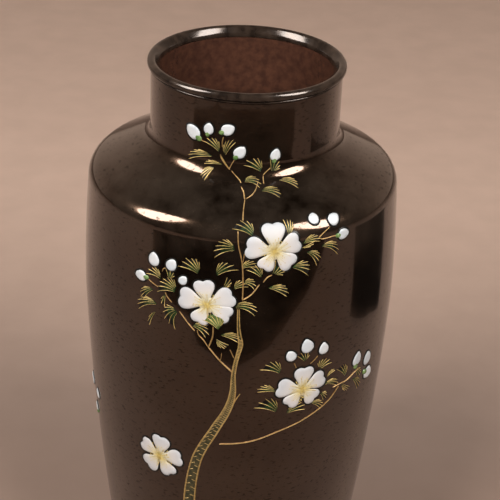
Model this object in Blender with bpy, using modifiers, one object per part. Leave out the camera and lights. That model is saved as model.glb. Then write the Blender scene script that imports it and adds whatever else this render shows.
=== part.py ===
"""A cloisonne vase: a broad-shouldered copper vase under a black enamel ground, with a
flowering branch of white blossoms, buds and gilt-ribbed leaves climbing its front.

Axis +Z, foot on z = 0, front towards -Y. Sizes are in millimetres and become metres at MM.
A place on the wall is (turn, climb): turn in degrees round the axis from the front, positive
towards +X, and climb in millimetres up the outer wall from the top of the foot ring."""

import math

import bmesh
import bpy
import numpy as np
from mathutils import Vector

MM = 0.001
STEPS = 32  # flats round every turned piece
GAP = 0.3  # clearance between touching pieces
MERGE = 0.00001

# The outer wall, from the foot to the mouth
HEIGHT = 312.0
FOOT_TOP = 7.0
BELLY_R = 75.2
BELLY_Z = 201.4
TAPER, TAPER_POWER = 0.00728, 1.493  # how the wall draws in below the belly
CROWN = 0.00069  # and above it
SHOULDER_Z, SHOULDER_R = 253.5, 9.5  # where the wall turns in, and the radius of that turn
SLOPE = math.radians(27.5)
NECK_R, NECK_FILLET = 44.3, 8.0
LIP_Z = 307.0

# The layers, from the outside in
GROUND, COPPER, LINING = 1.2, 1.5, 0.8
COPPER_AT = GROUND + GAP
LINING_AT = COPPER_AT + COPPER + GAP
SEAM = 276.0  # climb of the joint between the copper neck and the copper body

FOOT_R, FOOT_WALL = 57.0, 7.5
BASE_R = 52.8
LIP_BORE = 40.3

# The picture
RELIEF = 0.5  # thickness of leaves and branches
PICTURE_TURN = 0.5  # degrees that the whole picture is turned about the vase's axis
BLOSSOM_RELIEF, BUD_RELIEF = 0.7, 0.8
EYE_R = 2.9  # the yellow centre of a blossom
PETAL_DEEP = 4.8  # how far the clefts between petals stay from the centre


def wall_line():
    """The outer wall as a fine polyline of (radius, height) points, from the foot up."""
    line = []
    for z in np.linspace(FOOT_TOP, BELLY_Z, 160):
        line.append((BELLY_R - TAPER * (BELLY_Z - z) ** TAPER_POWER, z))
    for z in np.linspace(BELLY_Z, SHOULDER_Z, 30)[1:]:
        line.append((BELLY_R - CROWN * (z - BELLY_Z) ** 2, z))
    turn_r = line[-1][0] - SHOULDER_R
    for a in np.linspace(0, math.pi / 2 - SLOPE, 16)[1:]:
        line.append((turn_r + SHOULDER_R * math.cos(a), SHOULDER_Z + SHOULDER_R * math.sin(a)))
    end_r, end_z = line[-1]
    fillet_r = NECK_R + NECK_FILLET
    start_r = fillet_r - NECK_FILLET * math.sin(SLOPE)
    start_z = end_z + (end_r - start_r) * math.tan(SLOPE)
    fillet_z = start_z + NECK_FILLET * math.cos(SLOPE)
    for a in np.linspace(math.pi / 2 - SLOPE, 0, 16):
        line.append((fillet_r - NECK_FILLET * math.cos(a), fillet_z - NECK_FILLET * math.sin(a)))
    line.append((NECK_R, LIP_Z))
    return np.array(line)


WALL = wall_line()
CLIMB = np.concatenate([[0], np.cumsum(np.hypot(*np.diff(WALL, axis=0).T))])
TOP = float(CLIMB[-1])


def wall_point(climb, lift=0.0):
    """(radius, height) at that climb, lifted off the wall's face along its normal."""
    step = 0.2
    here = [float(np.interp(climb, CLIMB, WALL[:, k])) for k in (0, 1)]
    low = [np.interp(max(climb - step, 0), CLIMB, WALL[:, k]) for k in (0, 1)]
    high = [np.interp(min(climb + step, TOP), CLIMB, WALL[:, k]) for k in (0, 1)]
    rise = (high[0] - low[0], high[1] - low[1])
    size = math.hypot(*rise)
    return here[0] + lift * rise[1] / size, here[1] - lift * rise[0] / size


def on_wall(turn, climb, lift):
    radius, height = wall_point(climb, lift)
    a = math.radians(turn + PICTURE_TURN)
    return Vector((radius * math.sin(a), -radius * math.cos(a), height)) * MM


def beside(place, across, up):
    """The place that lies across millimetres to the right of another and up millimetres above."""
    turn, climb = place
    return turn + math.degrees(across / wall_point(climb + up)[0]), climb + up


def material(name, color, roughness, metallic=0.0, coat=0.0):
    made = bpy.data.materials.new(name)
    made.use_nodes = True
    shader = made.node_tree.nodes["Principled BSDF"]
    shader.inputs["Base Color"].default_value = (*color, 1)
    shader.inputs["Roughness"].default_value = roughness
    shader.inputs["Metallic"].default_value = metallic
    shader.inputs["Coat Weight"].default_value = coat
    return made


def add_object(name, mesh, surface):
    made = bpy.data.objects.new(name, mesh)
    mesh.materials.append(surface)
    VASE.objects.link(made)
    return made


# Turned pieces


def turned(name, profile, surface):
    """A closed (radius, height) outline, listed down its outer side, turned about the axis."""
    mesh = bpy.data.meshes.new(name)
    points = [(r * MM, 0, z * MM) for r, z in profile]
    edges = [(i, (i + 1) % len(points)) for i in range(len(points))]
    if profile[0][0] == 0 and profile[-1][0] == 0:
        edges.pop()  # an outline that ends on the axis stays open there
    mesh.from_pydata(points, edges, [])
    made = add_object(name, mesh, surface)
    screw = made.modifiers.new("turn", "SCREW")
    screw.axis = "Z"
    screw.steps = STEPS
    screw.render_steps = STEPS
    screw.use_merge_vertices = True
    screw.merge_threshold = MERGE
    screw.use_smooth_shade = True
    return made


def climbs(low, high):
    """The climbs a layer's outline passes through: few on the straight, more at the turns."""
    turn_start = float(np.interp(SHOULDER_Z, WALL[:, 1], CLIMB))
    turn_end = turn_start + SHOULDER_R * (math.pi / 2 - SLOPE)
    fillet_end = TOP - (LIP_Z - WALL[-2][1])
    fillet_start = fillet_end - NECK_FILLET * (math.pi / 2 - SLOPE)
    stops = [*np.linspace(0, turn_start, 8), *np.linspace(turn_start, turn_end, 4)[1:]]
    stops += [*np.linspace(fillet_start, fillet_end, 4), TOP]
    return [low, *(c for c in stops if low + 1 < c < high - 1), high]


def layer(name, lift, thickness, low, high, surface):
    """One layer of the wall between two climbs."""
    stops = climbs(low, high)
    outer = [wall_point(c, lift) for c in reversed(stops)]
    inner = [wall_point(c, lift - thickness) for c in stops]
    return turned(name, outer + inner, surface)


def make_vessel():
    copper = material("copper", (0.55, 0.27, 0.16), 0.35, metallic=1)
    black = material("black_enamel", (0.012, 0.011, 0.012), 0.04, coat=0.5)
    counter = material("brown_enamel", (0.09, 0.035, 0.02), 0.12, coat=0.3)
    bronze = material("patinated_metal", (0.10, 0.07, 0.05), 0.3, metallic=1)

    layer("black_ground_enamel", 0, GROUND, GAP, TOP, black)
    layer("copper_body", -COPPER_AT, COPPER, GAP, SEAM - GAP / 2, copper)
    layer("copper_neck", -COPPER_AT, COPPER, SEAM + GAP / 2, TOP, copper)

    plate_top = FOOT_TOP + GAP + COPPER
    floor = plate_top + GAP
    stops = climbs(floor + LINING - FOOT_TOP, TOP)
    outer = [wall_point(c, -LINING_AT) for c in reversed(stops)]
    inner = [wall_point(c, -LINING_AT - LINING) for c in stops[1:]]
    corner_r = outer[-1][0]
    cup = [(0, floor + LINING), (corner_r - LINING, floor + LINING), *inner]
    cup += [*outer, (corner_r, floor), (0, floor)]
    turned("inner_counter_enamel", cup, counter)

    low, high = FOOT_TOP + GAP, plate_top
    turned("base_plate", [(0, high), (BASE_R, high), (BASE_R, low), (0, low)], copper)
    recess_r = FOOT_R - FOOT_WALL - GAP
    low, high = FOOT_TOP - LINING, FOOT_TOP
    disc = [(0, high), (recess_r, high), (recess_r, low), (0, low)]
    turned("base_underside_enamel", disc, counter)

    bore = FOOT_R - FOOT_WALL
    foot = [(FOOT_R - 0.9, FOOT_TOP), (FOOT_R - 0.2, FOOT_TOP - 1.5), (FOOT_R, FOOT_TOP / 2)]
    foot += [(FOOT_R, 1.0), (FOOT_R - 1.0, 0), (bore + 0.8, 0), (bore, 0.8), (bore, FOOT_TOP)]
    turned("foot_ring", foot, bronze)

    # A bead, a groove and a rolled lip, whose inner edge falls away into the bore
    low = LIP_Z + GAP
    bead = [(NECK_R + 0.3, low + 1.1), (NECK_R + 0.9, low + 0.8), (NECK_R + 0.9, low)]
    roll_r, roll_z = 2.1, HEIGHT - 2.1
    roll = [
        (NECK_R - 0.5 + roll_r * math.cos(a), roll_z + roll_r * math.sin(a))
        for a in np.radians([150, 120, 90, 60, 30, 0, -35])
    ]
    bore = [(LIP_BORE, low), (LIP_BORE, HEIGHT - 3.2)]
    turned("mouth_rim", [*roll, *bead, *bore], bronze)


# The picture, in low relief


def relief(name, flat, place_of, thickness, surface):
    """A flat bmesh patch laid on the wall: place_of turns each flat (x, y) into a place."""
    for corner in flat.verts:
        corner.co = on_wall(*place_of(corner.co.x, corner.co.y), GAP)
    bmesh.ops.remove_doubles(flat, verts=flat.verts, dist=MERGE)
    mesh = bpy.data.meshes.new(name)
    flat.to_mesh(mesh)
    flat.free()
    mesh.shade_smooth()
    made = add_object(name, mesh, surface)
    raised = made.modifiers.new("relief", "SOLIDIFY")
    raised.thickness = thickness * MM
    raised.offset = 1
    return made


def grid(columns, rows):
    """A flat patch with x and y running from 0 to 1."""
    flat = bmesh.new()
    bmesh.ops.create_grid(flat, x_segments=columns, y_segments=rows, size=0.5)
    bmesh.ops.translate(flat, verts=flat.verts, vec=(0.5, 0.5, 0))
    return flat


def turned_by(angle, x, y):
    a = math.radians(angle)
    return x * math.cos(a) - y * math.sin(a), x * math.sin(a) + y * math.cos(a)


def branch(name, path, widths, surface):
    """A ribbon along a smooth line through a few places, as wide as widths at each of them."""
    marks = np.arange(len(path))
    length = sum(math.dist(a, b) for a, b in zip(path, path[1:]))
    rows = max(6, round(length / 5))

    def place_of(x, y):
        at = y * marks[-1]
        turn = float(np.interp(at, marks, [p[0] for p in path]))
        climb = float(np.interp(at, marks, [p[1] for p in path]))
        width = float(np.interp(at, marks, widths))
        i = min(int(at), len(path) - 2)
        (turn0, climb0), (turn1, climb1) = path[i], path[i + 1]
        radius = wall_point(climb)[0]
        run = (math.radians(turn1 - turn0) * radius, climb1 - climb0)
        size = math.hypot(*run)
        off = (x - 0.5) * width
        return beside((turn, climb), off * run[1] / size, -off * run[0] / size)

    return relief(name, grid(1, rows), place_of, RELIEF, surface)


def blossom(name, place, petals, length, white, yellow):
    """Five notched petals round an eye; petals holds the direction of each petal."""
    across = (-1, -0.8, -0.45, 0, 0.45, 0.8, 1)
    rim = []  # (direction, distance) of the blossom's edge
    for i, petal in enumerate(petals):
        ahead = (petals[(i + 1) % len(petals)] - petal) % 360
        behind = (petal - petals[i - 1]) % 360
        half = 0.47 * min(ahead, behind)
        for t in across:
            notch = 1 - 0.15 * math.exp(-((t / 0.3) ** 2))
            reach = PETAL_DEEP + (length * notch - PETAL_DEEP) * (1 - abs(t) ** 3.5) ** 0.6
            rim.append((petal + half * t, reach))
    columns, rows = len(rim), 3
    inside = EYE_R + GAP

    def place_of(x, y):
        direction, reach = rim[round(x * columns) % columns]
        out = inside + (reach - inside) * y
        return beside(place, *turned_by(direction, out, 0))

    flat = grid(columns, rows)
    bmesh.ops.reverse_faces(flat, faces=flat.faces)  # wrapped round the eye, it lies face down
    relief(name, flat, place_of, BLOSSOM_RELIEF, white)

    disc = bmesh.new()
    bmesh.ops.create_circle(disc, cap_ends=True, cap_tris=True, segments=12, radius=EYE_R)
    relief(name + "_eye", disc, lambda x, y: beside(place, x, y), BLOSSOM_RELIEF, yellow)


def bud(name, place, width, length, direction, surface):
    """An egg whose narrow end points along direction."""
    disc = bmesh.new()
    bmesh.ops.create_circle(disc, cap_ends=True, cap_tris=True, segments=12, radius=0.5)

    def place_of(x, y):
        return beside(place, *turned_by(direction, y * length, -x * width * (1 - 0.35 * y)))

    relief(name, disc, place_of, BUD_RELIEF, surface)


def leaf(name, place, direction, length, spread, bend, surface):
    """A fan from its foot at place; bend curls its tip that many degrees to the left."""

    def place_of(x, y):
        off = 2 * x - 1
        start, tip = 0.16, 1 - 0.12 * abs(off) ** 2
        out = length * (start + (tip - start) * y)
        heading = direction - spread * off + bend * (y - 0.5)
        return beside(place, *turned_by(heading, out, 0))

    relief(name, grid(4, 3), place_of, RELIEF, surface)


def make_branches():
    bark = material("bark_enamel_and_gilt", (0.42, 0.28, 0.12), 0.3, metallic=0.3)
    trunk = [(-12, 24), (-14, 60), (-17, 96), (-14, 128), (-7, 149), (-3.6, 158), (-0.8, 168)]
    trunk += [(-0.6, 181), (0.7, 193), (1.4, 198), (0.8, 203), (0.4, 208), (0.2, 215)]
    branch("trunk", trunk, [9, 7, 6, 5, 4.4, 4, 3.4, 2.3, 2.1, 2.4, 1.9, 1.6, 1.3], bark)
    stem = [(1.4, 221), (1.4, 229), (0.7, 240), (-0.8, 248), (-0.9, 254), (0.6, 262), (1.3, 269.5)]
    branch("stem_upper", stem, [0.9] * 5 + [0.8] * 2, bark)
    left = [(-2.4, 184.5), (-5.7, 188.5), (-9.6, 195), (-13.5, 203), (-19.4, 210)]
    branch("branch_left", left, [1.0, 1.0, 0.9, 0.8, 0.7], bark)
    branch("twig_right", [(2.3, 221), (6.2, 227), (8, 229.4)], [0.8, 0.7, 0.6], bark)
    branch("twig_neck_left", [(0.9, 271), (-0.8, 276.5), (-4.2, 282.6), (-7.6, 285.2)], [0.7] * 4, bark)
    branch("twig_neck_right", [(2.4, 271), (5.6, 274), (7.7, 278.4)], [0.7, 0.6, 0.5], bark)
    low = [(-5, 141), (6, 143), (17, 148), (26, 152), (36, 158.5), (41, 165.2)]
    branch("branch_lower_right", low, [2.0, 1.8, 1.5, 1.2, 1.0, 0.8], bark)


def make_blossoms():
    white = material("white_enamel", (0.83, 0.80, 0.76), 0.25, coat=0.3)
    yellow = material("yellow_enamel", (0.86, 0.76, 0.42), 0.3)
    blossom("blossom_left", (-11, 217.3), (29, 103, 173, 248, 337), 12.2, white, yellow)
    blossom("blossom_right", (11.8, 244.5), (15, 91, 172, 236, 325), 12.0, white, yellow)
    blossom("blossom_lower", (24.6, 170.6), (20, 88, 166, 229, 315), 12.2, white, yellow)
    blossom("blossom_base", (-29, 126), (12, 85, 156, 228, 300), 12.4, white, yellow)


def make_buds():
    white = material("white_bud_enamel", (0.80, 0.78, 0.75), 0.25, coat=0.3)
    # Each spray's buds: place, width, length and the way the tip points
    sprays = {
        "neck": [
            ((-30.7, 300.1), 8.0, 7.4, 140),
            ((-20.9, 303.1), 5.4, 5.7, 80),
            ((-9.7, 304), 6.4, 5.6, 20),
            ((-2.3, 293.6), 5.2, 6.6, 55),
            ((18.4, 292.1), 5.9, 5.8, 80),
        ],
        "right": [
            ((27.3, 257), 5.8, 5.6, 70),
            ((35, 254.7), 5.8, 6.6, 35),
            ((38.1, 246.8), 4.9, 6.8, 0),
        ],
        "left": [
            ((-30.8, 233.5), 6.2, 7.1, 95),
            ((-23.9, 233.2), 5.8, 6.3, 60),
            ((-19.4, 227), 4.4, 5.0, 55),
            ((-36, 223.4), 5.6, 6.5, 180),
        ],
        "lower": [
            ((19.4, 190), 5.2, 6.6, 115),
            ((25.4, 194), 6.2, 8.8, 110),
            ((32.1, 190.4), 5.5, 7.2, 95),
            ((49.7, 175.8), 6.6, 8.4, 80),
            ((57, 172), 7.0, 8.2, 110),
            ((58.9, 162.5), 7.0, 8.4, 330),
        ],
        "side": [
            ((-81, 136), 6.5, 7.5, 95),
            ((-70, 135.2), 5.5, 6.0, 95),
            ((-76, 122.8), 5.0, 5.5, 120),
        ],
    }
    for spray, buds in sprays.items():
        for number, (place, width, length, direction) in enumerate(buds, 1):
            bud(f"bud_{spray}_{number}", place, width, length, direction, white)


def make_leaves():
    green = material("green_enamel_and_gilt", (0.20, 0.19, 0.06), 0.3, metallic=0.2)
    # Each spray's larger leaves: foot, direction, length, half spread and bend
    sprays = {
        "neck": [
            ((-15.7, 290.3), 175, 11.5, 13, 12),
            ((11.1, 283.9), 120, 7.6, 30, 10),
            ((7.7, 274.8), 10, 8.6, 20, -20),
            ((17.3, 280.3), -5, 9.3, 14, -15),
        ],
        "right": [
            ((-0.9, 244.8), 160, 8.8, 30, 20),
            ((27.8, 243.8), 0, 9.5, 16, -20),
            ((8.9, 227), -6, 9.3, 16, -10),
        ],
        "left": [
            ((-13.3, 231.2), 125, 8.2, 32, 10),
            ((-8.2, 231.5), 60, 8.4, 24, -15),
            ((-29.8, 219.1), 200, 8.2, 18, 20),
            ((-27.6, 211.8), 178, 11, 15, 15),
            ((-21.2, 211.4), 200, 7.8, 35, 25),
        ],
        "lower": [
            ((16.3, 181), 125, 8.4, 28, 10),
            ((44.3, 168.4), 105, 8, 20, 10),
            ((47.6, 166.2), -35, 9.5, 14, -10),
        ],
    }
    for spray, leaves in sprays.items():
        for number, (place, direction, length, spread, bend) in enumerate(leaves, 1):
            leaf(f"leaf_{spray}_{number}", place, direction, length, spread, bend, green)


for old in list(bpy.data.objects):
    bpy.data.objects.remove(old, do_unlink=True)
VASE = bpy.data.collections.new("cloisonne_vase")
bpy.context.scene.collection.children.link(VASE)
make_vessel()
make_branches()
make_blossoms()
make_buds()
make_leaves()
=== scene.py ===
import math
import random

import bmesh
import bpy
import numpy as np
from mathutils import Matrix, Vector


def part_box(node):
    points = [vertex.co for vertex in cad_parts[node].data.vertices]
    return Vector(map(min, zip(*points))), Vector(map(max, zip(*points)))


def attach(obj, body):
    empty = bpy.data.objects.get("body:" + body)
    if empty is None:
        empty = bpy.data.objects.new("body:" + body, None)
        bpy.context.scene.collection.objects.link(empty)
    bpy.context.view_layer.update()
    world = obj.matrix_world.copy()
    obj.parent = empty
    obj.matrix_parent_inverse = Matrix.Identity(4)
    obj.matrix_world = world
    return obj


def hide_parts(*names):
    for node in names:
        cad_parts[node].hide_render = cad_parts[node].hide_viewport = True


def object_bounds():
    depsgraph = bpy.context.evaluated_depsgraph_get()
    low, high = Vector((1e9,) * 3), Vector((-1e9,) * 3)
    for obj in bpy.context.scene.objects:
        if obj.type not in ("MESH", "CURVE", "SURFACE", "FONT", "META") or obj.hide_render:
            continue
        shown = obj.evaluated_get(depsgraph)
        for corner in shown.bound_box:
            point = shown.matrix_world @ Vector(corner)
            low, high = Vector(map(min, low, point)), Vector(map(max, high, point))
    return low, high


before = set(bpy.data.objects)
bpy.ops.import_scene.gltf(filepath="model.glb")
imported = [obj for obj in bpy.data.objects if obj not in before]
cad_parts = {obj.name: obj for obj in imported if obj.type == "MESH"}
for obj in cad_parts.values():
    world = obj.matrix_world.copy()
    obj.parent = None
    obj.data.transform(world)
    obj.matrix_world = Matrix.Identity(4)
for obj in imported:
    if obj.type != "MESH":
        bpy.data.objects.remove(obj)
cad_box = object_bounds()
MM = 0.001

# The camera. It looks down on the vase's shoulder from in front, with a long lens, and it is
# turned a little about its own line of sight, so the vase leans to the right.

vase_height = cad_box[1][2]
AIM_ACROSS = 4.9 * MM
AIM_SHARE_OF_HEIGHT = 0.6797
aim = Vector((AIM_ACROSS, 0, AIM_SHARE_OF_HEIGHT * vase_height))
CAMERA_REACH = 735 * MM
CAMERA_DOWN = 28
CAMERA_LEAN = 2.4
lens = bpy.data.cameras.new("camera")
lens.sensor_width = 36
lens.lens = 108
camera = bpy.data.objects.new("camera", lens)
down = math.radians(CAMERA_DOWN)
stand = aim + CAMERA_REACH * Vector((0, -math.cos(down), math.sin(down)))
turn_down = Matrix.Rotation(math.radians(90 - CAMERA_DOWN), 4, "X")
turn_over = Matrix.Rotation(math.radians(CAMERA_LEAN), 4, "Z")
camera.matrix_world = Matrix.Translation(stand) @ turn_down @ turn_over
bpy.context.scene.collection.objects.link(camera)
bpy.context.scene.camera = camera

# The copper shell. Sheet copper is hammered over a form in two parts, body and neck, brazed at
# the slope of the shoulder, and closed below by a flat plate. Enamel hides all of it.


def mapped(source, before, after, smooth=False):
    """The values of a node's socket, moved from the range before to the range after."""
    tree = source.id_data
    made = tree.nodes.new("ShaderNodeMapRange")
    if smooth:
        made.interpolation_type = "SMOOTHSTEP"
    for field, value in zip(("From Min", "From Max", "To Min", "To Max"), (*before, *after)):
        made.inputs[field].default_value = value
    tree.links.new(source, made.inputs["Value"])
    return made.outputs["Result"]


def coloured(source, *stops):
    """The values of a node's socket as colours, from stops of (value, colour) in rising order."""
    tree = source.id_data
    made = tree.nodes.new("ShaderNodeValToRGB")
    elements = made.color_ramp.elements
    for number, (value, colour) in enumerate(stops):
        stop = elements[number] if number < 2 else elements.new(value)
        stop.position = value
        stop.color = (*colour, 1)
    tree.links.new(source, made.inputs["Fac"])
    return made.outputs["Color"]


def dented(shader, source, depth, strength=1):
    """The shader's surface rises and falls with the values of a node's socket."""
    tree = source.id_data
    made = tree.nodes.new("ShaderNodeBump")
    made.inputs["Strength"].default_value = strength
    made.inputs["Distance"].default_value = depth
    tree.links.new(source, made.inputs["Height"])
    tree.links.new(made.outputs["Normal"], shader.inputs["Normal"])


def finish(name, dark, light, grain, roughness, bump=0.0, **sockets):
    """A surface mottled between two colours, and between two roughnesses, at a scale of grain
    marks to the metre. Other sockets of the shader are named in words."""
    made = bpy.data.materials.new(name)
    made.use_nodes = True
    nodes, links = made.node_tree.nodes, made.node_tree.links
    shader = nodes["Principled BSDF"]
    for socket, value in sockets.items():
        shader.inputs[socket.replace("_", " ").title().replace("Ior", "IOR")].default_value = value
    place = nodes.new("ShaderNodeTexCoord")
    mottle = nodes.new("ShaderNodeTexNoise")
    mottle.inputs["Scale"].default_value = grain
    mottle.inputs["Detail"].default_value = 4
    links.new(place.outputs["Object"], mottle.inputs["Vector"])
    tone = coloured(mottle.outputs["Fac"], (0.35, dark), (0.65, light))
    links.new(tone, shader.inputs["Base Color"])
    rough = mapped(mottle.outputs["Fac"], (0, 1), roughness)
    links.new(rough, shader.inputs["Roughness"])
    if bump:
        dented(shader, mottle.outputs["Fac"], bump)
    return made


copper = finish(
    "hammered_copper", (0.45, 0.2, 0.11), (0.66, 0.34, 0.2), 160, (0.25, 0.45), 0.0004, metallic=1
)
for part in ("copper_body", "copper_neck", "base_plate"):
    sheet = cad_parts[part]
    sheet.data.materials.clear()
    sheet.data.materials.append(copper)

# The counter-enamel. A thin coat of red-brown enamel lines the inside and the underside of the
# copper, so that the enamel outside doesn't pull the sheet out of shape as it cools.

# The outer wall, in millimetres
BELLY_R, BELLY_Z = 75.2, 201.4
TAPER, TAPER_POWER = 0.00728, 1.493
CROWN = 0.00069
SHOULDER_Z, SHOULDER_R = 253.5, 9.5
SLOPE = math.radians(27.5)
NECK_R, NECK_FILLET = 44.3, 8.0
TOUCH = 0.3
foot_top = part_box("foot_ring")[1][2] / MM
lip_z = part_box("mouth_rim")[0][2] / MM - TOUCH
LINING, LINING_AT = 0.8, 3.3


def wall_line():
    """The outer wall as a fine line of (radius, height) points, from the foot up."""
    line = []
    for z in np.linspace(foot_top, BELLY_Z, 160):
        line.append((BELLY_R - TAPER * (BELLY_Z - z) ** TAPER_POWER, z))
    for z in np.linspace(BELLY_Z, SHOULDER_Z, 60)[1:]:
        line.append((BELLY_R - CROWN * (z - BELLY_Z) ** 2, z))
    turn_r = line[-1][0] - SHOULDER_R
    for a in np.linspace(0, math.pi / 2 - SLOPE, 24)[1:]:
        line.append((turn_r + SHOULDER_R * math.cos(a), SHOULDER_Z + SHOULDER_R * math.sin(a)))
    end_r, end_z = line[-1]
    fillet_r = NECK_R + NECK_FILLET
    start_r = fillet_r - NECK_FILLET * math.sin(SLOPE)
    start_z = end_z + (end_r - start_r) * math.tan(SLOPE)
    fillet_z = start_z + NECK_FILLET * math.cos(SLOPE)
    for a in np.linspace(math.pi / 2 - SLOPE, 0, 24):
        line.append((fillet_r - NECK_FILLET * math.cos(a), fillet_z - NECK_FILLET * math.sin(a)))
    line.append((NECK_R, lip_z))
    return np.array(line)


wall = wall_line()
climbed = np.concatenate([[0], np.cumsum(np.hypot(*np.diff(wall, axis=0).T))])
wall_top = float(climbed[-1])
RULE = 0.25
marks = np.arange(0, wall_top + 2 * RULE, RULE)
mark_r = np.interp(marks, climbed, wall[:, 0]).tolist()
mark_z = np.interp(marks, climbed, wall[:, 1]).tolist()


def wall_point(climb, lift=0.0):
    """(radius, height) after climbing that far up the wall, lifted off its face."""
    spot = min(max(climb, 0), wall_top) / RULE
    i = min(int(spot), len(marks) - 3)
    out, up = mark_r[i + 1] - mark_r[max(i - 1, 0)], mark_z[i + 1] - mark_z[max(i - 1, 0)]
    size = math.hypot(out, up)
    radius = mark_r[i] + (spot - i) * (mark_r[i + 1] - mark_r[i])
    height = mark_z[i] + (spot - i) * (mark_z[i + 1] - mark_z[i])
    return radius + lift * up / size, height - lift * out / size


def turned(name, outline, steps=192, open_at_axis=False):
    """A closed (radius, height) outline spun about the vase's axis."""
    body = bmesh.new()
    corners = [body.verts.new((r * MM, 0, z * MM)) for r, z in outline]
    ends = list(zip(corners, corners[1:] + corners[:1]))
    for pair in ends[:-1] if open_at_axis else ends:
        body.edges.new(pair)
    bmesh.ops.spin(
        body,
        geom=body.verts[:] + body.edges[:],
        axis=(0, 0, 1),
        cent=(0, 0, 0),
        angle=math.tau,
        steps=steps,
        use_merge=True,
    )
    bmesh.ops.remove_doubles(body, verts=body.verts, dist=1e-7)
    return made_from(body, name)


def made_from(body, name):
    """A finished object, faces out and smooth but for its sharp edges."""
    bmesh.ops.recalc_face_normals(body, faces=body.faces)
    mesh = bpy.data.meshes.new(name)
    body.to_mesh(mesh)
    body.free()
    mesh.shade_smooth()
    mesh.set_sharp_from_angle(angle=math.radians(45))
    piece = bpy.data.objects.new(name, mesh)
    bpy.context.scene.collection.objects.link(piece)
    return piece


def settle(piece, slot, *materials, stands_for=()):
    """The piece is given its materials, rides on the vase and stands for its CAD nodes."""
    for material in materials:
        piece.data.materials.append(material)
    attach(piece, "root")
    if stands_for:
        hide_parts(*stands_for)


counter_enamel = finish(
    "counter_enamel", (0.05, 0.022, 0.015), (0.085, 0.036, 0.022), 300, (0.06, 0.14), 0.00003, ior=1.6
)
floor_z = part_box("inner_counter_enamel")[0][2] / MM
climbs = np.linspace(floor_z + LINING - foot_top, wall_top, 90)
inner = [wall_point(c, -LINING_AT - LINING) for c in climbs[1:]]
outer = [wall_point(c, -LINING_AT) for c in climbs[::-1]]
corner_r = outer[-1][0]
floor_of_cup = [(0, floor_z + LINING), (corner_r - LINING, floor_z + LINING)]
lining = turned(
    "inner_lining", [*floor_of_cup, *inner, *outer, (corner_r, floor_z), (0, floor_z)], open_at_axis=True
)
settle(lining, "brown_enamel", counter_enamel, stands_for=["inner_counter_enamel"])

under_low, under_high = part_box("base_underside_enamel")
under_r, low, high = under_high[0] / MM, under_low[2] / MM, under_high[2] / MM
EASED = 0.25
outline = [(0, high), (under_r, high), (under_r, low + EASED), (under_r - 3 * EASED, low), (0, low)]
underside = turned("underside_enamel", outline, open_at_axis=True)
settle(underside, "brown_enamel", counter_enamel, stands_for=["base_underside_enamel"])

# The black ground. Layer on layer of black enamel is fired onto the copper and polished to a
# mirror. A few pits and polishing streaks stay in it, specks of dust lie all over it, and a
# thin film of dust lies on the slope of the shoulder.

GROUND = 1.2


def blended(under, over, share):
    """The colour of the socket under, with the colour over laid on it by the socket share."""
    tree = share.id_data
    made = tree.nodes.new("ShaderNodeMix")
    made.data_type = "RGBA"
    made.inputs["B"].default_value = (*over, 1)
    tree.links.new(share, made.inputs["Factor"])
    tree.links.new(under, made.inputs["A"])
    return made.outputs["Result"]


ground_enamel = bpy.data.materials.new("black_ground")
ground_enamel.use_nodes = True
nodes, links = ground_enamel.node_tree.nodes, ground_enamel.node_tree.links
shader = nodes["Principled BSDF"]
shader.inputs["IOR"].default_value = 1.55
shader.inputs["Specular Tint"].default_value = (1, 0.6, 0.38, 1)
shader.inputs["Coat Roughness"].default_value = 0.035
place = nodes.new("ShaderNodeTexCoord")
cloud = nodes.new("ShaderNodeTexNoise")
cloud.inputs["Scale"].default_value = 34
cloud.inputs["Detail"].default_value = 9
cloud.inputs["Roughness"].default_value = 0.62
links.new(place.outputs["Object"], cloud.inputs["Vector"])
tone = coloured(cloud.outputs["Fac"], (0.38, (0.0030, 0.0019, 0.0012)), (0.68, (0.0110, 0.0072, 0.0048)))

# The film of dust begins and ends between these heights, in metres
FILM_LOW, FILM_HIGH = (0.236, 0.26), (0.268, 0.276)
height = nodes.new("ShaderNodeSeparateXYZ")
links.new(place.outputs["Object"], height.inputs["Vector"])
film = mapped(cloud.outputs["Fac"], (0.4, 0.66), (0, 1))
for limits, shares in ((FILM_LOW, (0, 1)), (FILM_HIGH, (1, 0))):
    part = nodes.new("ShaderNodeMath")
    part.operation = "MULTIPLY"
    links.new(film, part.inputs[0])
    links.new(mapped(height.outputs["Z"], limits, shares, smooth=True), part.inputs[1])
    film = part.outputs["Value"]
filmed = blended(tone, (0.024, 0.018, 0.0135), film)

dust = nodes.new("ShaderNodeTexVoronoi")
dust.inputs["Scale"].default_value = 330
links.new(place.outputs["Object"], dust.inputs["Vector"])
speck = mapped(dust.outputs["Distance"], (0.02, 0.07), (0.4, 0))
dusty = blended(filmed, (0.11, 0.08, 0.06), speck)
links.new(dusty, shader.inputs["Base Color"])
haze = mapped(cloud.outputs["Fac"], (0.3, 0.7), (0.08, 0.2))
links.new(haze, shader.inputs["Roughness"])

drawn_out = nodes.new("ShaderNodeMapping")
drawn_out.inputs["Scale"].default_value = (0.45, 0.45, 1)
links.new(place.outputs["Object"], drawn_out.inputs["Vector"])
pits = nodes.new("ShaderNodeTexNoise")
pits.inputs["Scale"].default_value = 950
pits.inputs["Detail"].default_value = 2
links.new(drawn_out.outputs["Vector"], pits.inputs["Vector"])
pitted = mapped(pits.outputs["Fac"], (0.32, 0.4), (0.2, 0.5))
links.new(pitted, shader.inputs["Specular IOR Level"])
links.new(pitted, shader.inputs["Coat Weight"])
dented(shader, pits.outputs["Fac"], 0.00004, 0.25)

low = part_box("black_ground_enamel")[0][2] / MM - foot_top
outer = [wall_point(c) for c in np.linspace(wall_top, low, 230)]
inner = [wall_point(c, -GROUND) for c in np.linspace(low, wall_top, 60)]
ground = turned("black_ground", outer + inner, steps=288)
settle(ground, "black_enamel", ground_enamel, stands_for=["black_ground_enamel"])

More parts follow.
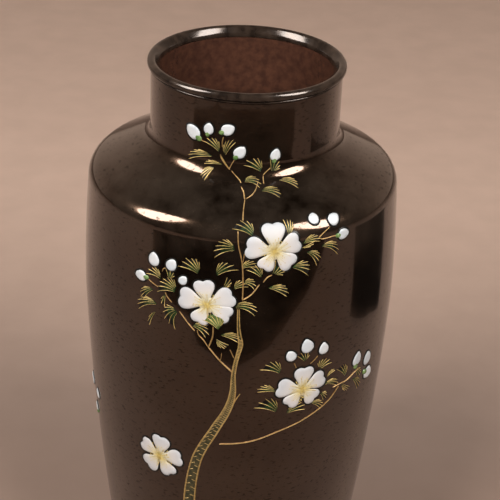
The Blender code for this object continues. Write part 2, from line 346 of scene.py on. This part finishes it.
# The foot ring. A turned ring of dark bronze under the wall, with a softened outer edge, that
# the vase stands on.

dark_bronze = finish(
    "dark_bronze", (0.018, 0.012, 0.009), (0.05, 0.034, 0.025), 220, (0.1, 0.22), 0.00003, metallic=0.35
)
foot_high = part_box("foot_ring")[1]
foot_r, foot_h = foot_high[0] / MM, foot_high[2] / MM
FOOT_WALL, FOOT_EDGE, BORE_EDGE = 7.5, 1.0, 0.8
bore_r = foot_r - FOOT_WALL
outline = [(foot_r - 0.9, foot_h), (foot_r - 0.35, foot_h - 0.8)]
outline += [(foot_r - 0.1, foot_h - 1.8), (foot_r, foot_h / 2)]
edge = [math.radians(a) for a in range(0, -91, -15)]
outline += [
    (foot_r - FOOT_EDGE + FOOT_EDGE * math.cos(a), FOOT_EDGE + FOOT_EDGE * math.sin(a)) for a in edge
]
outline += [(bore_r + BORE_EDGE, 0), (bore_r, BORE_EDGE), (bore_r, foot_h)]
foot = turned("foot", outline)
settle(foot, "patinated_metal", dark_bronze, stands_for=["foot_ring"])

# The mouth rim. A rolled lip of the same dark metal caps the raw ends of the wall, over a fine
# bead, and its polished crest catches the light.

rim_low, rim_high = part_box("mouth_rim")
top_z = rim_high[2] / MM
low = rim_low[2] / MM
LIP_BORE, ROLL_R, BEAD_R = 40.3, 2.1, 0.5
roll_at = NECK_R - 0.5
bead_at = NECK_R + 0.2
outline = [
    (roll_at + ROLL_R * math.cos(a), top_z - ROLL_R + ROLL_R * math.sin(a))
    for a in np.radians(range(150, -36, -10))
]
outline += [
    (bead_at + BEAD_R * math.cos(a), low + BEAD_R + BEAD_R * math.sin(a))
    for a in np.radians(range(90, -91, -20))
]
outline += [(LIP_BORE, low), (LIP_BORE, top_z - 3.2), (LIP_BORE + 0.4, top_z - 2.4)]
lip = turned("mouth_lip", outline, steps=256)
settle(lip, "patinated_metal", dark_bronze, stands_for=["mouth_rim"])

# The branches. Gilt wires are bent to the outline of trunk and twigs and fixed to the ground;
# brown and green enamel is packed between them, and the whole is polished down.

gilt = finish(
    "gilt_wire", (0.3, 0.19, 0.06), (0.54, 0.37, 0.14), 900, (0.35, 0.5), 0.00002, metallic=0.4
)
old_gilt = finish(
    "dulled_wire", (0.13, 0.06, 0.02), (0.3, 0.16, 0.06), 700, (0.4, 0.55), 0.00002, metallic=0.4
)
bark_enamel = finish("bark_enamel", (0.02, 0.022, 0.008), (0.06, 0.05, 0.02), 500, (0.1, 0.25), 0.00003)

# The whole picture is turned by this many degrees from the front
PICTURE_TURN = 0.5
# Edges of enamel are sunk this far into the ground, in millimetres
SUNK = 0.3
# Points closer than this, in metres, are one point
SEAM = 2e-7


def on_wall(turn, climb, lift):
    """A point of the wall: turn degrees round from the front, climb millimetres up the wall."""
    radius, height = wall_point(climb, lift)
    a = math.radians(turn + PICTURE_TURN)
    return Vector((radius * math.sin(a), -radius * math.cos(a), height)) * MM


def beside(place, across, up):
    """The place across millimetres to the right of another and up millimetres above it."""
    turn, climb = place
    return turn + math.degrees(across / wall_point(climb + up)[0]), climb + up


def turned_by(angle, x, y):
    """The offset (x, y), turned by an angle in degrees."""
    a = math.radians(angle)
    return x * math.cos(a) - y * math.sin(a), x * math.sin(a) + y * math.cos(a)


def patch(body, columns, rows, spot, layer=0):
    """A mound on the wall: spot turns (u, v), each from 0 to 1, into a place and a lift."""
    made = bmesh.ops.create_grid(body, x_segments=columns, y_segments=rows, size=0.5)["verts"]
    for corner in made:
        place, lift = spot(corner.co.x + 0.5, corner.co.y + 0.5)
        corner.co = on_wall(*place, lift)
    for face in {face for corner in made for face in corner.link_faces}:
        face.material_index = layer


def closed(body, name):
    """Seams of the mounds are joined and their undersides, sunk in the wall, are filled."""
    bmesh.ops.remove_doubles(body, verts=body.verts, dist=SEAM)
    rims = [edge for edge in body.edges if edge.is_boundary]
    bmesh.ops.holes_fill(body, edges=rims)
    return made_from(body, name)


def eased(values, at):
    """A smooth line through evenly spaced values, read at a fraction of its length."""
    spot = at * (len(values) - 1)
    i = min(int(spot), len(values) - 2)
    t = spot - i
    a, b = values[max(i - 1, 0)], values[i]
    c, d = values[i + 1], values[min(i + 2, len(values) - 1)]
    return b + t * (c - a + t * (2 * a - 5 * b + 4 * c - d + t * (3 * b - a - 3 * c + d))) / 2


def along(path, at):
    """The place at a fraction of a smooth path, and the unit direction of the path there."""
    turns, heights = zip(*path)
    here = eased(turns, at), eased(heights, at)
    low, high = max(at - 0.01, 0), min(at + 0.01, 1)
    across = math.radians(eased(turns, high) - eased(turns, low)) * wall_point(here[1])[0]
    up = eased(heights, high) - eased(heights, low)
    size = math.hypot(across, up)
    return here, (across / size, up / size)


def wire(body, path, radii, layer=0, lift=0.2, side=None):
    """A half-round wire along a smooth path; side shifts it sideways, in millimetres."""
    lengths = [math.dist(a, b) for a, b in zip(path, path[1:])]
    rows = max(8, round(sum(lengths) * 1.1))
    half_arc, end_share = 110, 0.35

    def spot(u, v):
        here, run = along(path, v)
        end = min(v, 1 - v) * rows
        radius = eased(radii, v) * min(1, end_share + (1 - end_share) * end)
        a = math.radians(half_arc * (2 * u - 1))
        off = radius * math.sin(a) + (eased(side, v) if side else 0)
        return beside(here, off * run[1], -off * run[0]), lift + radius * (math.cos(a) - 0.4)

    patch(body, 6, rows, spot, layer)


def ribbon(body, path, widths, layer, lift=0.12):
    """Enamel between two outlines, along a smooth path."""
    lengths = [math.dist(a, b) for a, b in zip(path, path[1:])]
    rows = max(6, round(sum(lengths) * 0.8))

    def spot(u, v):
        here, run = along(path, v)
        off = (u - 0.5) * eased(widths, v)
        return beside(here, off * run[1], -off * run[0]), lift - SUNK * (abs(2 * u - 1) > 0.99)

    patch(body, 6, rows, spot, layer)


TRUNK = [
    (-12, 24), (-14, 60), (-17, 96), (-14, 128), (-7, 149), (-3.6, 158), (-1.6, 165),
    (-0.7, 172), (-0.7, 181), (-0.1, 188), (0.7, 193), (1.4, 198), (0.8, 203), (0.4, 208), (0.2, 216),
]
TRUNK_WIDTHS = [9, 7, 6, 5, 4.4, 4.0, 3.6, 3.0, 2.1, 2.0, 2.0, 2.3, 1.8, 1.5, 1.2]
# Little wires cross the trunk, aslant up to a share of its length and straight above that
RUNGS, FIRST_RUNG, RUNG_SPAN, SLANTED_TO = 150, 0.02, 0.80, 0.66
body = bmesh.new()
ribbon(body, TRUNK, TRUNK_WIDTHS, layer=1)
halves = [w / 2 - 0.25 for w in TRUNK_WIDTHS]
thickness = [0.38] * 5 + [0.3] * 4 + [0.25] * 6
wire(body, TRUNK, thickness, side=halves)
wire(body, TRUNK, thickness, side=[-w for w in halves])
for step in range(RUNGS):
    at = FIRST_RUNG + RUNG_SPAN * step / RUNGS
    here = along(TRUNK, at)[0]
    half = eased(halves, at)
    sign = 1 if step % 2 else -1
    if at < SLANTED_TO:
        wire(body, [beside(here, sign * half, 0), beside(here, sign * 0.05 * half, 0.9)], [0.13, 0.1])
    elif step % 2:
        wire(body, [beside(here, half, 0), beside(here, -half, 0.1)], [0.16, 0.16])
stub = [(-0.9, 163), (0.4, 167.4), (1.9, 171)]
wire(body, stub, [0.3, 0.25, 0.2])
piece = closed(body, "trunk_wires")
settle(piece, "bark_enamel", gilt, bark_enamel, stands_for=["trunk"])

# Each wire's path of places and its radius, for each twig
twigs = {
    "stem_upper": [
        ([(1.4, 220.5), (1.4, 229), (0.8, 239), (-0.6, 247), (-1.0, 253.5)], 0.34),
        ([(0.6, 258.5), (0.7, 264), (1.2, 270)], 0.32),
        ([(1.5, 243.5), (1.1, 239)], 0.2),
    ],
    "branch_left": [
        ([(-1.0, 182.8), (-5.2, 188.2), (-9.7, 195.3)], 0.42),
        ([(-9.7, 195.3), (-11.6, 199), (-13.2, 201), (-13.8, 203.5)], 0.24),
        ([(-14.6, 202.8), (-17, 206), (-20.3, 211.3)], 0.3),
        ([(-9.6, 195.3), (-8.3, 201), (-8.2, 206.3)], 0.36),
        ([(-5.5, 188.5), (-5.1, 191), (-5.0, 193)], 0.16),
        ([(-0.8, 190.8), (-1.5, 193), (-2.2, 195)], 0.2),
        ([(-25.8, 219), (-25, 217), (-23.2, 214.8)], 0.22),
        ([(-32.8, 222.9), (-30.5, 221.5), (-28.6, 220.6)], 0.2),
        ([(-26.2, 231), (-27, 230.2), (-27.2, 229)], 0.24),
    ],
    "twig_right": [
        ([(1.6, 220.8), (4.4, 223.5), (7, 228.4)], 0.34),
        ([(8.2, 229.4), (9.6, 231.8), (11.2, 232.8)], 0.3),
        ([(28.6, 247.2), (31, 247), (34, 247.2), (36.4, 246.4)], 0.2),
        ([(27.9, 248.2), (30, 250), (32.6, 251.8)], 0.22),
    ],
    "twig_neck_left": [
        ([(1.1, 270.2), (0.6, 274), (-0.7, 277)], 0.36),
        ([(-0.8, 279), (-2, 281), (-4.4, 283), (-6.6, 284.8)], 0.24),
        ([(-7.6, 285.2), (-8.6, 286), (-10.5, 287.4), (-13, 290.3), (-13.4, 292)], 0.26),
        ([(-8, 285.4), (-6.8, 287.6), (-5.2, 290)], 0.22),
        ([(-12, 300.4), (-12.6, 298), (-12.4, 295.4)], 0.24),
        ([(-26.4, 297.4), (-24.6, 296.9), (-22.4, 296.6)], 0.22),
    ],
    "twig_neck_right": [
        ([(1.6, 270.4), (4.2, 272.4), (6.3, 275.4), (8, 280)], 0.24),
        ([(10.8, 278.6), (10.9, 281), (11.1, 283)], 0.2),
        ([(11.2, 283.2), (13.4, 284.8), (15.8, 286.2)], 0.2),
    ],
    "branch_lower_right": [
        ([(-5, 141), (6, 143), (17, 148), (26, 152), (36, 158.5), (41, 165.4)], 0.4),
        ([(38, 166), (41, 166.4), (45, 166.6), (49, 168.6), (51.5, 169.4)], 0.3),
        ([(20.7, 186), (21.2, 184.4), (21.6, 183.2)], 0.24),
        ([(29.8, 187.3), (28.4, 185.4), (27, 184)], 0.18),
    ],
}
for node, lines in twigs.items():
    body = bmesh.new()
    for path, radius in lines:
        wire(body, path, [radius * 1.15, radius, radius * 0.9], layer=1, lift=0.1)
        wire(body, path, [radius * 0.6, radius * 0.5, radius * 0.45], layer=0, lift=0.3)
    piece = closed(body, node + "_wires")
    settle(piece, "bark_enamel", gilt, old_gilt, stands_for=[node])

# The leaves. Each is a fan of fine gilt wires that spring from one foot, with dark green
# enamel packed between them and a dull black edge around, a painted dark halo for the darker
# reflection where the ground curves up to the leaf; the one that crosses a petal is
# paler and stands higher.

# The dull near-black edge around leaves, petals and buds is painted shade: a dark halo that stands in for
# the darker reflection where the black ground curves up to the enamel
painted_halo_enamel = finish(
    "painted_dark_halo", (0.002, 0.002, 0.0015), (0.006, 0.006, 0.005), 400, (0.3, 0.45), specular_ior_level=0.2
)
rib_gilt = finish(
    "rib_gilt", (0.42, 0.31, 0.1), (0.9, 0.66, 0.25), 450, (0.35, 0.5), 0.00002, metallic=0.3
)
leaf_enamel = finish(
    "leaf_green", (0.003, 0.01, 0.003), (0.014, 0.044, 0.01), 260, (0.3, 0.5), specular_ior_level=0.25
)
pale_enamel = finish("pale_leaf_green", (0.05, 0.09, 0.02), (0.17, 0.22, 0.08), 350, (0.15, 0.3), 0.00003)
chance = random.Random(7)
# The pale leaf's lift over the others, and the share of a rib's length left bare at its foot
PALE_LIFT, RIB_FOOT = 0.55, 0.12


def fan(name, foot, direction, length, spread, bend, ribs, pale=False, stands_for=()):
    """A leaf of ribs from foot, longest on the side that bend, in degrees, curls them to."""
    body = bmesh.new()
    raised = PALE_LIFT if pale else 0.0
    droop = -1 if bend < 0 else 1
    spine = direction - 0.8 * spread * droop

    def vein(off, t):
        """The place a share t of the way out along the rib at off, from -1 to 1 across the fan."""
        rank = max((1 - off * droop) / 2, 0)
        heading = direction + spread * off * (0.75 + 0.25 * t) + bend * (t - 0.3)
        rise = turned_by(spine, 0.3 * length * rank, 0)
        reach = 1.25 * length * (1 - 0.58 * rank**1.6) * (0.05 + 0.95 * t)
        run = turned_by(heading, reach, 0)
        return beside(foot, rise[0] + run[0], rise[1] + run[1])

    def cell(wide, deep, lift):
        """Enamel across the fan: its width and depth are shares of the ribs' own."""

        def spot(u, v):
            edge = max(abs(2 * u - 1), v, 1 - 1.6 * v)
            return vein(wide * (2 * u - 1), deep * v), raised + lift - SUNK * (edge > 0.995)

        return spot

    patch(body, 3 * ribs, 6, cell(1.1, 1.0 if pale else 0.74, 0.1), 1)
    # Every leaf but the pale one gets an outer layer that wears the painted dark halo
    if not pale:
        patch(body, 3 * ribs, 8, cell(1.22, 1.0, 0.06), 2)
    for i in range(ribs):
        off = 2 * i / (ribs - 1) - 1
        drift = chance.uniform(-0.2, 0.2) / ribs
        end = chance.uniform(0.93, 1.04)
        shares = (0, 0.25, 0.5, 0.75, 1)
        path = [vein(off + drift * t, RIB_FOOT + (end - RIB_FOOT) * t) for t in shares]
        wire(body, path, [0.04, 0.06, 0.1, 0.12, 0.1], lift=raised + 0.16)
    piece = closed(body, name)
    between = pale_enamel if pale else leaf_enamel
    settle(piece, "green_enamel", rib_gilt, between, painted_halo_enamel, stands_for=stands_for)


# foot, direction, length, half spread, bend and ribs, with the leaves that are CAD nodes first
leaves = {
    "neck": [
        ((-15.7, 290.3), 175, 11.6, 13, 12, 5),
        ((11.1, 283.9), 120, 7.6, 30, 10, 5),
        ((7.5, 274.7), 10, 8.8, 20, -25, 5),
        ((17.3, 280.3), -5, 9.3, 15, -20, 5),
        ((-13.4, 292.2), 118, 7.3, 24, 10, 5),
        ((-11.2, 290.4), 82, 8.0, 18, -10, 5),
        ((-10.4, 287.1), 173, 7.6, 8, 5, 4),
        ((-15.7, 286.3), 216, 7.2, 20, 15, 5),
        ((15.9, 283.6), 58, 5.7, 36, 0, 5),
        ((-0.5, 279.3), 30, 7.0, 25, -35, 5),
    ],
    "right": [
        ((-0.6, 244.8), 160, 9.0, 32, 15, 6),
        ((27.8, 243.8), 0, 9.5, 17, -20, 5),
        ((8.9, 227), -6, 9.4, 17, -8, 5),
        ((4.9, 250.6), 122, 8.8, 28, 15, 5),
        ((16.7, 249.6), 80, 7.6, 19, 0, 5),
        ((21, 246.1), 27, 8.0, 18, -15, 5),
        ((20.4, 244.1), 12, 6.6, 8, 0, 3),
        ((22.6, 242.7), -22, 8.0, 20, -15, 5),
        ((17.2, 236), 0, 8.6, 25, -8, 5),
        ((11.1, 232.7), 36, 5.9, 42, 0, 5),
        ((8, 231), 115, 7.0, 26, 10, 5),
        ((1, 229), 18, 5.3, 30, -25, 5),
        ((0, 235.6), 42, 6.4, 22, -15, 5),
        ((-2.4, 216.4), 20, 9.8, 20, -30, 5),
    ],
    "left": [
        ((-13.3, 230.9), 124, 8.4, 34, 10, 6),
        ((-8.3, 230.9), 60, 8.8, 25, -15, 5),
        ((-29.8, 219.1), 200, 8.2, 20, 15, 5),
        ((-27.6, 211.8), 177, 11, 17, 18, 5),
        ((-20.4, 211.3), 198, 7.8, 45, 22, 6),
        ((-27.1, 224.6), 138, 6.8, 28, 12, 5),
        ((-24.6, 225.6), 76, 4.6, 34, 0, 4),
        ((-21.3, 219.9), 138, 8.4, 42, 15, 7),
        ((-25.7, 218.8), 252, 5.6, 15, 0, 3),
        ((-29, 208.9), 234, 8.0, 8, 8, 3),
        ((-16.4, 205.3), 5, 7.8, 26, -22, 5),
        ((-6.6, 202.4), 2, 8.6, 16, -10, 5),
        ((-7.7, 200.7), -50, 6.2, 20, 5, 5),
        ((-5.6, 225.2), 52, 5.6, 20, 0, 4),
        ((-2.2, 225.4), 48, 6.2, 26, -12, 5),
    ],
    "lower": [
        ((16.5, 180.6), 125, 8.6, 28, 10, 5),
        ((44.3, 168.4), 105, 8, 22, 10, 5),
        ((47.6, 166.2), -35, 9.5, 15, -8, 5),
        ((25.1, 185.1), 100, 5.2, 36, 0, 5),
        ((31.2, 178.7), 74, 5.8, 44, -15, 6),
        ((15.7, 170.9), 152, 8.4, 18, 8, 5),
        ((16.2, 158.4), 122, 10, 28, 12, 5),
        ((18.3, 157.5), 34, 8.6, 24, -8, 5),
        ((27.7, 161.5), -10, 7.6, 18, -15, 5),
        ((32.1, 165.3), -25, 4.8, 30, -10, 5),
        ((34.3, 172.9), 50, 5.0, 14, -10, 4),
        ((32.8, 169.7), 6, 8.6, 16, -18, 5),
        ((41.7, 166.7), -50, 7.4, 14, 0, 5),
        ((48.7, 171), -36, 7.2, 20, -10, 5),
    ],
}
nodes_of = {"neck": 4, "right": 3, "left": 5, "lower": 3}
for spray, fans in leaves.items():
    for number, sizes in enumerate(fans, 1):
        node = f"leaf_{spray}_{number}"
        fan(node + "_fan", *sizes, stands_for=[node] if number <= nodes_of[spray] else [])
fan("leaf_over_petal", (-6.3, 204.9), 100, 6.9, 42, 8, 7, pale=True)

# The blossoms. Five notched petals of soft white enamel stand a little proud of the ground,
# which rises to meet them; pale yellow stamens with dotted tips are drawn over their hearts.

# How far a petal stands up, and how wide the edge of raised ground around it is, in millimetres
PETAL_RISE = 0.5
MARGIN = 0.8

petal_enamel = bpy.data.materials.new("petal_white")
petal_enamel.use_nodes = True
nodes, links = petal_enamel.node_tree.nodes, petal_enamel.node_tree.links
shader = nodes["Principled BSDF"]
shader.inputs["Roughness"].default_value = 0.5
shader.inputs["Specular IOR Level"].default_value = 0.22
heart = nodes.new("ShaderNodeAttribute")
heart.attribute_name = "out"
# The colour runs from the enamel's own pale yellow at the heart, through white, to a darker blue-grey at
# the petal's edge; that edge is partly the thinner enamel over the black ground and partly painted shade
# where the petal's rim turns down
shade = coloured(
    heart.outputs["Fac"],
    (0.1, (0.64, 0.56, 0.27)),
    (0.34, (0.645, 0.615, 0.49)),
    (0.58, (0.63, 0.615, 0.605)),
    (0.95, (0.55, 0.575, 0.61)),
)
place = nodes.new("ShaderNodeTexCoord")
cloud = nodes.new("ShaderNodeTexNoise")
cloud.inputs["Scale"].default_value = 110
links.new(place.outputs["Object"], cloud.inputs["Vector"])
cool = mapped(cloud.outputs["Fac"], (0.45, 0.75), (0, 0.35))
links.new(blended(shade, (0.50, 0.56, 0.62), cool), shader.inputs["Base Color"])
dented(shader, cloud.outputs["Fac"], 0.0001, 0.3)

stamen_enamel = finish("stamen_yellow", (0.48, 0.35, 0.09), (0.64, 0.51, 0.18), 900, (0.4, 0.5), 0.00002)


def outline_at(knots, angle):
    """A mirrored outline: knots give its reach at evenly spaced angles from 0 to 180 degrees."""
    return eased(knots, abs((angle + 180) % 360 - 180) / 180)


def mound(body, place, direction, size, knots, rise, layer=0, columns=40, rows=8, skew=0.0):
    """A domed cell with an outline about place; its reach is a share of size."""

    def spot(u, v):
        angle = 360 * u
        reach = size * outline_at(knots, angle) * v * (1 + skew * math.sin(math.radians(angle)))
        lift = rise - (rise + 0.15) * v**7
        return beside(place, *turned_by(direction + angle, reach, 0)), lift

    patch(body, columns, rows, spot, layer)


def swelling(body, place, direction, size, knots, rise, columns=40):
    """The ground drawn up against a cell, from the cell's edge out to the margin."""

    def spot(u, v):
        angle = 360 * u
        reach = size * outline_at(knots, angle)
        reach = reach * 0.94 + (MARGIN + reach * 0.06) * v
        lift = rise * (1 - v) ** 2 - 0.03 * v
        return beside(place, *turned_by(direction + angle, reach, 0)), lift

    patch(body, columns, 5, spot)


# Reach of a petal's edge about its own middle, every 20 degrees from its notch to its foot
PETAL = [0.38, 0.46, 0.5, 0.475, 0.395, 0.33, 0.31, 0.325, 0.395, 0.52]
PETAL_MIDDLE = 0.55
STAMENS = 34


def blossom(name, place, petals, length):
    """The petals are a list of each one's direction and its share of the full length."""
    body = bmesh.new()
    rims = bmesh.new()
    for number, (direction, share) in enumerate(petals):
        size = length * share
        middle = beside(place, *turned_by(direction, PETAL_MIDDLE * size, 0))
        skew = chance.uniform(-0.05, 0.05)
        rise = PETAL_RISE + 0.02 * number
        mound(body, middle, direction, size, PETAL, rise, skew=skew)
        swelling(rims, middle, direction, size, PETAL, 0.22)
    mound(body, place, 0, 0.36 * length, [1, 1], PETAL_RISE - 0.08, columns=32, rows=6)
    piece = closed(body, name + "_petals")
    centre = on_wall(*place, PETAL_RISE)
    out = piece.data.attributes.new("out", "FLOAT", "POINT")
    for corner, value in zip(piece.data.vertices, out.data):
        value.value = (corner.co - centre).length / (length * MM)
    settle(piece, "white_enamel", petal_enamel, stands_for=[name])
    # The ground's raised edge around the petals wears the painted dark halo
    bmesh.ops.remove_doubles(rims, verts=rims.verts, dist=SEAM)
    edge = made_from(rims, name + "_dark_halo_edge")
    settle(edge, "black_enamel", painted_halo_enamel)

    body = bmesh.new()
    for number in range(STAMENS):
        direction = 360 * number / STAMENS + chance.uniform(-5, 5)
        reach = length * chance.uniform(0.3, 0.56)
        curl = chance.uniform(-12, 12)
        path = [
            beside(place, *turned_by(direction + curl * t, 0.4 + reach * t, 0)) for t in (0, 0.33, 0.66, 1)
        ]
        wire(body, path, [0.08, 0.07, 0.06, 0.06], lift=PETAL_RISE + 0.06)
        mound(body, path[-1], 0, 0.28, [1, 1], PETAL_RISE + 0.2, columns=8, rows=3)
    mound(body, place, 0, 1.0, [1, 1], PETAL_RISE + 0.12, columns=16, rows=4)
    piece = closed(body, name + "_stamens")
    settle(piece, "yellow_enamel", stamen_enamel, stands_for=[name + "_eye"])


# place, length of a petal, then each petal's direction and share of that length
blossoms = {
    "left": ((-10.4, 217.1), 12.6, [(28, 1.06), (102, 1.0), (171, 1.12), (246, 0.9), (333, 0.98)]),
    "right": ((11.8, 244.3), 12.6, [(20, 1.0), (93, 1.08), (170, 1.08), (240, 0.82), (317, 0.94)]),
    "lower": ((24.6, 170.4), 12.8, [(20, 1.02), (88, 1.0), (166, 1.05), (229, 0.86), (315, 0.88)]),
    "base": ((-29, 126), 12.6, [(12, 1), (85, 1.02), (156, 0.96), (228, 1), (300, 0.94)]),
}
for which, (centre_place, length, petals) in blossoms.items():
    blossom(f"blossom_{which}", centre_place, petals, length)

# The buds. Each is an egg of white enamel with an edge of raised ground around it, and about
# half of them show the small green calyx that they sit in.

bud_enamel = finish(
    "bud_white", (0.56, 0.62, 0.67), (0.66, 0.69, 0.71), 170, (0.3, 0.42), 0.00003, specular_ior_level=0.4
)
calyx_enamel = finish("calyx_green", (0.06, 0.14, 0.04), (0.2, 0.3, 0.11), 500, (0.15, 0.3), 0.00003)

# Reach of a bud's edge about its middle, from its tip round to its foot
EGG = [0.56, 0.48, 0.43, 0.43, 0.46, 0.48, 0.48]
POINTED = [0.62, 0.49, 0.43, 0.43, 0.45, 0.45, 0.45]
CALYX = [0.5, 0.42, 0.36, 0.38, 0.45]
BUD_RISE, CALYX_RISE = 0.65, 0.72


def bud(name, place, size, direction, egg, calyx):
    """An egg of the CAD node's name, with or without a calyx, and its edge of raised ground."""
    body = bmesh.new()
    mound(body, place, direction, size, egg, BUD_RISE, columns=32, rows=8)
    if calyx:
        foot = beside(place, *turned_by(direction + 180, 0.42 * size, 0))
        mound(body, foot, direction + 180, 0.52 * size, CALYX, CALYX_RISE, layer=1, columns=20, rows=5)
    piece = closed(body, name + "_egg")
    settle(piece, "white_enamel", bud_enamel, calyx_enamel, stands_for=[name])
    # The ground's raised edge around the bud wears the painted dark halo
    rims = bmesh.new()
    swelling(rims, place, direction, size, egg, 0.3, columns=32)
    edge = made_from(rims, name + "_dark_halo_edge")
    settle(edge, "black_enamel", painted_halo_enamel)


# place, size, direction of the tip, outline, whether its calyx shows
buds = {
    "neck": [
        ((-30.7, 300.1), 8.0, 140, EGG, True),
        ((-20.9, 303.1), 5.8, 80, EGG, True),
        ((-9.7, 304), 6.6, 30, EGG, True),
        ((-2.3, 293.6), 6.6, 55, EGG, True),
        ((18.4, 292.1), 6.0, 80, EGG, True),
    ],
    "right": [
        ((27.3, 257), 6.0, 70, EGG, False),
        ((35, 254.7), 6.6, 35, EGG, False),
        ((38.1, 246.8), 6.4, 0, EGG, True),
    ],
    "left": [
        ((-30.8, 233.5), 7.0, 95, EGG, False),
        ((-23.9, 233.2), 6.3, 60, EGG, False),
        ((-19.4, 227), 5.0, 55, EGG, False),
        ((-36, 223.4), 6.4, 180, EGG, True),
    ],
    "lower": [
        ((19.4, 190), 6.2, 115, EGG, False),
        ((25.4, 193.6), 7.8, 105, POINTED, False),
        ((32.1, 190.2), 6.6, 95, POINTED, False),
        ((49.7, 175.6), 7.8, 82, POINTED, True),
        ((57, 171.8), 8.0, 100, EGG, False),
        ((58.9, 162.5), 8.2, 330, EGG, True),
    ],
    "side": [
        ((-81, 136), 7.4, 95, EGG, False),
        ((-70, 135.2), 6.0, 95, EGG, False),
        ((-76, 122.8), 5.4, 120, EGG, True),
    ],
}
for spray, eggs in buds.items():
    for number, sizes in enumerate(eggs, 1):
        bud(f"bud_{spray}_{number}", *sizes)

# The studio. A pale warm floor runs far behind the vase; a painted shadow darkens it just behind
# the vase, and painted shade darkens it far in front. Two soft boxes and two fills stand around
# it, and two black boards show only in the vase's gloss.

floor_paper = finish("floor_paper", (0.61, 0.44, 0.352), (0.65, 0.47, 0.378), 30, (0.8, 0.9))
nodes, links = floor_paper.node_tree.nodes, floor_paper.node_tree.links
place, shader = nodes["Texture Coordinate"], nodes["Principled BSDF"]
apart = nodes.new("ShaderNodeSeparateXYZ")
links.new(place.outputs["Object"], apart.inputs["Vector"])
# Painted shade on the paper: a painted shadow just behind the vase, and painted shade far in front of it
behind = mapped(apart.outputs["Y"], (0, 0.6), (0.6, 0), smooth=True)
ahead = mapped(apart.outputs["Y"], (-1.2, -0.75), (1, 0), smooth=True)
painted_shade_share = nodes.new("ShaderNodeMath")
painted_shade_share.operation = "MAXIMUM"
links.new(behind, painted_shade_share.inputs[0])
links.new(ahead, painted_shade_share.inputs[1])
paper = nodes["Color Ramp"].outputs["Color"]
shadow = blended(paper, (0.08, 0.048, 0.036), painted_shade_share.outputs["Value"])
links.new(shadow, shader.inputs["Base Color"])
body = bmesh.new()
bmesh.ops.create_grid(body, x_segments=8, y_segments=8, size=6)
floor = made_from(body, "floor")
floor.data.materials.append(floor_paper)

black_board = finish("black_board", (0.003, 0.003, 0.003), (0.006, 0.005, 0.005), 30, (0.8, 0.9))


def board(name, corners):
    """A standing board, of (x, y, height) corners, that only the vase's gloss shows."""
    body = bmesh.new()
    low_edge = [body.verts.new((x, y, 0.001)) for x, y, height in corners]
    strip = [body.edges.new(pair) for pair in zip(low_edge, low_edge[1:])]
    raised = bmesh.ops.extrude_edge_only(body, edges=strip)["geom"]
    for corner in [item for item in raised if isinstance(item, bmesh.types.BMVert)]:
        corner.co.z = next(high for x, y, high in corners if math.dist((x, y), corner.co[:2]) < 0.001)
    stood = made_from(body, name)
    stood.data.materials.append(black_board)
    for rays in ("visible_camera", "visible_diffuse", "visible_shadow", "visible_transmission"):
        setattr(stood, rays, False)


front_edge = [
    (-0.565, -0.315, 0.047), (-0.454, -0.315, 0.088), (-0.373, -0.343, 0.108), (-0.24, -0.4, 0.132),
    (-0.174, -0.362, 0.155), (-0.081, -0.346, 0.175), (0, -0.335, 0.184), (0.082, -0.353, 0.173),
    (0.18, -0.378, 0.149), (0.293, -0.384, 0.122), (0.397, -0.367, 0.097), (0.513, -0.357, 0.061),
    (0.6, -0.35, 0.03),
]
board("front_board", front_edge)
board("right_board", [(0.42, -0.045, 0.12), (0.38, 0.11, 0.12), (0.34, 0.19, 0.12)])


# The lights look at this point on the vase's axis, at the height of its shoulder
LIT_POINT = Vector((0, 0, 0.25))


def soft_light(name, azimuth, elevation, reach, size, power, **rays):
    """A tall round light that looks at the vase's shoulder; rays says which rays miss it."""
    lamp = bpy.data.lights.new(name, "AREA")
    lamp.shape = "ELLIPSE"
    lamp.size = size
    lamp.size_y = 1.7 * size
    lamp.energy = power
    lamp.color = (1.0, 0.95, 0.9)
    light = bpy.data.objects.new(name, lamp)
    a, e = math.radians(azimuth), math.radians(elevation)
    off = Vector((math.sin(a) * math.cos(e), -math.cos(a) * math.cos(e), math.sin(e)))
    light.location = LIT_POINT + reach * off
    light.rotation_euler = (-off).to_track_quat("-Z", "Y").to_euler()
    for kind, shown in rays.items():
        setattr(light, kind, shown)
    bpy.context.scene.collection.objects.link(light)


soft_light("soft_box_left", -71, 40, 1.6, 0.75, 55, visible_diffuse=False)
soft_light("soft_box_right", 64, 41, 1.6, 0.7, 50, visible_diffuse=False)
soft_light("fill_left", -38, 42, 1.8, 0.8, 34, visible_glossy=False)
soft_light("fill_right", 38, 42, 1.8, 0.8, 28, visible_glossy=False)

air = bpy.data.worlds.new("studio")
bpy.context.scene.world = air
air.use_nodes = True
nodes, links = air.node_tree.nodes, air.node_tree.links
place = nodes.new("ShaderNodeTexCoord")
apart = nodes.new("ShaderNodeSeparateXYZ")
links.new(place.outputs["Generated"], apart.inputs["Vector"])
sky = coloured(apart.outputs["Z"], (0.35, (0.6, 0.43, 0.33)), (0.92, (0.06, 0.05, 0.04)))
links.new(sky, nodes["Background"].inputs["Color"])
strength = mapped(apart.outputs["Y"], (-0.1, 0.75), (0.12, 0.85), smooth=True)
links.new(strength, nodes["Background"].inputs["Strength"])
bpy.context.scene.view_settings.view_transform = "Standard"
